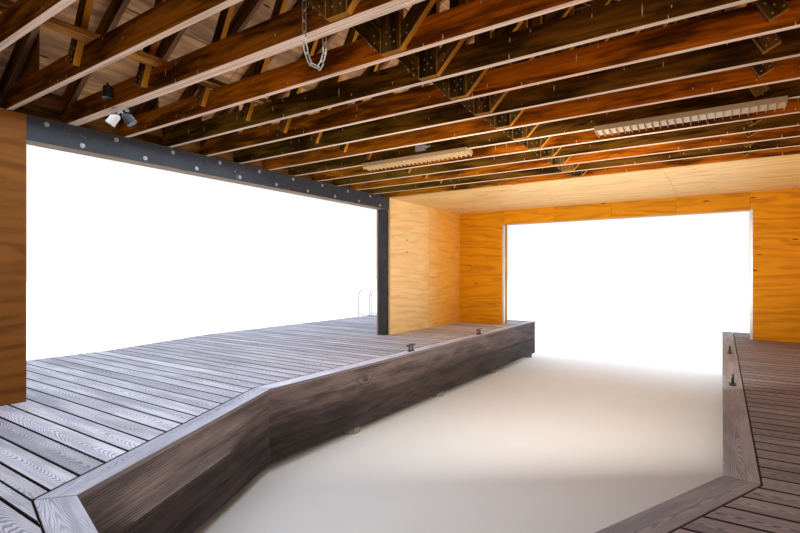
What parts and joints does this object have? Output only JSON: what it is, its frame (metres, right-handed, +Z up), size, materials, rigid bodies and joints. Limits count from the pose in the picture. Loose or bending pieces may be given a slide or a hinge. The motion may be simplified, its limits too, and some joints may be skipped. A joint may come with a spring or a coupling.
{
  "type": "boathouse",
  "caption": "Gable-roofed timber boathouse over a tapered slip, with an open side, a wide boat entrance, grooved decks on piles and exposed site-built roof trusses.",
  "frame": {"origin": "middle of the footprint's box, at the foot of the piles, where they meet the water or ground", "axes": "+Z up, +Y along the ridge towards the lake and the mouth of the slip, +X to the closed side wall with the high windows"},
  "size_m": [8.4396, 11.535, 5.0641],
  "materials": {
    "pile_timber": "weathered round timber",
    "frame_timber": "sawn softwood",
    "deck_boards": "grooved grey composite boards with wood grain",
    "deck_boards_warm": "grooved brown-grey composite boards",
    "fascia_boards": "dark grey-brown composite boards",
    "plywood": "oiled plywood with knots and grain",
    "plywood_lake": "deep orange oiled plywood",
    "cladding": "stained vertical boards",
    "truss_timber": "aged dark timber",
    "web_timber": "aged amber timber",
    "sheathing": "pale roof boards",
    "ceiling_plywood": "pale plywood",
    "bright_strip": "plain metal strip",
    "window_paint": "painted sashes",
    "clear_glass": "clear glass",
    "beam_paint": "dark slate grey paint",
    "post_paint": "near-black paint",
    "roof_metal": "charcoal standing seam sheet",
    "edge_paint": "charcoal painted boards",
    "lamp_white": "white enamel",
    "lamp_shell": "white and black lamp shells",
    "box_metal": "galvanised box",
    "chain_metal": "galvanised chain",
    "cleat_black": "black cast cleats",
    "ladder_steel": "polished stainless tube"
  },
  "bodies": {
    "root": {"piles": "pile_timber", "cap_beams": "frame_timber", "deck_joists": "frame_timber", "deck_head": "deck_boards", "deck_left": "deck_boards", "deck_right": "deck_boards_warm", "dock_lake_end": "deck_boards", "slip_border": "deck_boards", "slip_fascia": "fascia_boards", "dock_fascia": "fascia_boards", "wall_framing": "frame_timber", "left_wall_lining": "plywood", "right_wall_lining": "plywood", "land_wall_lining": "plywood", "lake_wall_lining": "plywood_lake", "left_wall_cladding": "cladding", "right_wall_cladding": "cladding", "land_wall_cladding": "cladding", "lake_wall_cladding": "cladding", "entrance_jambs": "plywood_lake", "entrance_strips": "bright_strip", "window_sashes": "window_paint", "window_glass": "clear_glass", "steel_beam": "beam_paint", "beam_core": "frame_timber", "steel_posts": "post_paint", "bottom_chords": "truss_timber", "rafters": "truss_timber", "king_posts": "truss_timber", "truss_diagonals": "web_timber", "truss_struts": "web_timber", "truss_gussets": "truss_timber", "lateral_runners": "web_timber", "eave_blocking": "truss_timber", "ceiling_panels": "ceiling_plywood", "roof_sheathing": "sheathing", "metal_roofing": "roof_metal", "ridge_cap": "roof_metal", "roof_edge_boards": "edge_paint", "strip_lights": "lamp_white", "flood_lamps": "lamp_shell", "junction_box": "box_metal", "hanging_chain": "chain_metal", "dock_cleats": "cleat_black", "swim_ladder": "ladder_steel"}
  },
  "joints": []
}
